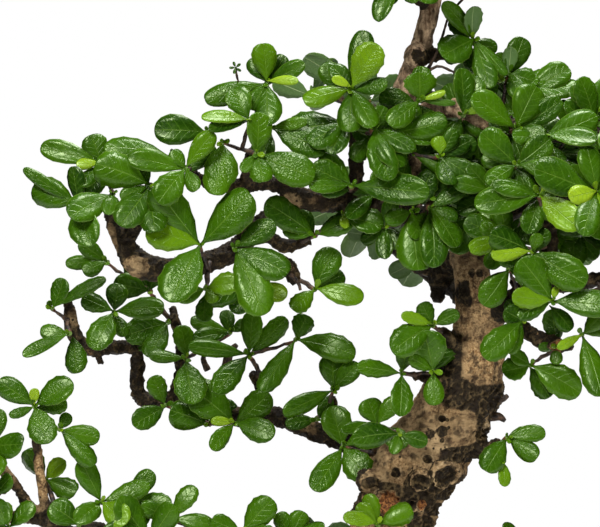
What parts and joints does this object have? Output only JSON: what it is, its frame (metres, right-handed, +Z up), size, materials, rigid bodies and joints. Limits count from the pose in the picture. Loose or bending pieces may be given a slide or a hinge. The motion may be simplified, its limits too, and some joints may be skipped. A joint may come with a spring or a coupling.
{
  "type": "fukien tea bonsai",
  "caption": "Crooked-trunked Fukien tea bonsai with glossy spoon-shaped leaves in whorls, rooted in a shallow rectangular footed pot; stands free on a table.",
  "frame": {"origin": "on the ground plane under the middle of the whole object's box", "axes": "+Z up along the trunk, +X to the right and +Y away, as the tree is seen from its front"},
  "size_m": [0.3048, 0.161, 0.3983],
  "materials": {
    "pot_ceramic": "unglazed stoneware, dull",
    "soil": "coarse bonsai grit and moss, matte",
    "screen": "moulded mesh, matte",
    "bark": "rough tan bark with dark cracks and scars",
    "leaf": "glossy dark green leaves on rough brown twigs"
  },
  "bodies": {
    "root": {"pot": "pot_ceramic", "soil": "soil", "drain_screen_left": "screen", "drain_screen_right": "screen", "trunk": "bark", "spray_tipLeft": "leaf", "spray_forkLeft": "leaf", "spray_padMid": "leaf", "spray_padTop": "leaf", "spray_crest": "leaf", "spray_bigLeft": "leaf", "spray_bigRight": "leaf", "spray_dropping": "leaf", "spray_ridge": "leaf", "spray_inner": "leaf", "spray_underLeft": "leaf", "spray_centre": "leaf", "spray_centreRight": "leaf", "spray_hanging": "leaf", "spray_core": "leaf", "spray_topRightSprig": "leaf", "spray_peakLow": "leaf", "spray_peak": "leaf", "spray_peakRight": "leaf", "spray_faceMid": "leaf", "spray_faceRight": "leaf", "spray_faceCentre": "leaf", "spray_faceLow": "leaf", "spray_fan": "leaf", "spray_fanLeft": "leaf", "spray_lowHang": "leaf", "spray_trunkUpper": "leaf", "spray_trunkLower": "leaf", "spray_trunkRight": "leaf", "spray_trunkFoot": "leaf", "spray_joint": "leaf", "spray_riser": "leaf", "spray_arch": "leaf", "spray_node": "leaf", "spray_padLow": "leaf", "spray_padLeft": "leaf", "spray_padTip": "leaf", "spray_padHigh": "leaf", "spray_postTop": "leaf", "spray_postLow": "leaf", "spray_baseMid": "leaf", "spray_baseRight": "leaf", "spray_baseFar": "leaf", "spray_farRight": "leaf", "spray_apexTip": "leaf", "spray_apexLeftPad": "leaf", "spray_apexRightPad": "leaf", "spray_apexRearPad": "leaf", "spray_rearLeft": "leaf", "spray_rearRight": "leaf", "spray_rearTopLeft": "leaf", "spray_rearTopRight": "leaf", "spray_rearLow": "leaf", "spray_frontLowRight": "leaf"}
  },
  "joints": []
}
